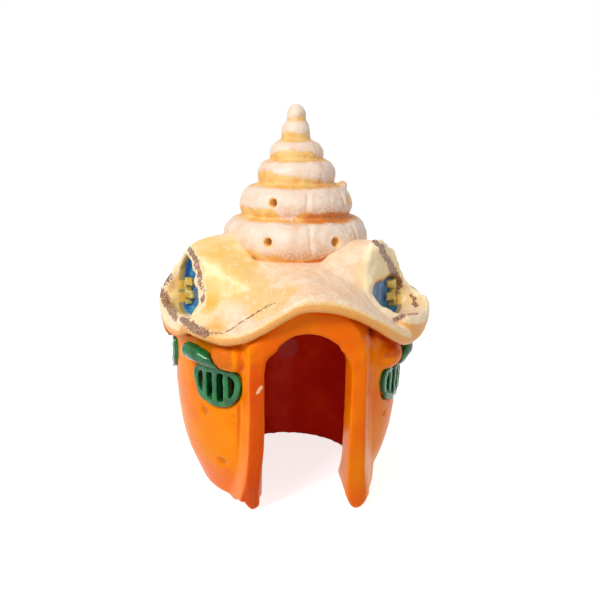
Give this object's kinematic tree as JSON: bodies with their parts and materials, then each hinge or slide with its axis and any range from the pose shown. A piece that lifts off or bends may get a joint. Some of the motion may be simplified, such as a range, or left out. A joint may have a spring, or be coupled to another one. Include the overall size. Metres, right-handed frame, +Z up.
{
  "type": "bubbling aquarium ornament",
  "caption": "Shell-roofed cottage for an aquarium: barrel house with arched doorway, windows and a lift-off spire roof that lets air bubbles out through small ports.",
  "frame": {"origin": "on the base plane under the spire's axis", "axes": "+Z up along the spire, doorway faces -Y"},
  "size_m": [0.0876, 0.0879, 0.12],
  "materials": {
    "orange_plastic": "glossy moulded vinyl, deep red inside",
    "green_paint": "glossy green",
    "cream_paint": "cream dry brush over yellow",
    "blue_paint": "blue paint",
    "yellow_paint": "yellow paint",
    "clear_plastic": "milky clear",
    "grommet_rubber": "soft black",
    "air_stone": "porous grey"
  },
  "bodies": {
    "house": {"house_body": "orange_plastic", "window_grille_front_left": "green_paint", "window_grille_side_left": "green_paint", "window_grille_rear_left": "green_paint", "window_grille_rear": "green_paint", "window_grille_side_right": "green_paint", "window_grille_front_right": "green_paint", "window_brow_front_left": "green_paint", "window_brow_side_left": "green_paint", "window_brow_rear_left": "green_paint", "window_brow_rear": "green_paint", "window_brow_side_right": "green_paint", "window_brow_front_right": "green_paint", "inlet_grommet": "grommet_rubber", "airline_inlet": "clear_plastic", "riser_pipe": "clear_plastic", "riser_clip": "clear_plastic", "air_stone_holder": "clear_plastic", "air_stone": "air_stone"},
    "roof": {"roof_mantle": "cream_paint", "shell_spire": "cream_paint", "dormer_pane_left": "blue_paint", "dormer_pane_right": "blue_paint", "dormer_pane_rear": "blue_paint", "dormer_slats_left": "yellow_paint", "dormer_slats_right": "yellow_paint", "dormer_slats_rear": "yellow_paint"}
  },
  "joints": [
    {"name": "roof_lift", "type": "slide", "parent": "house", "child": "roof", "axis": [0, 0, 1], "range_m": [0, 0.045]}
  ]
}
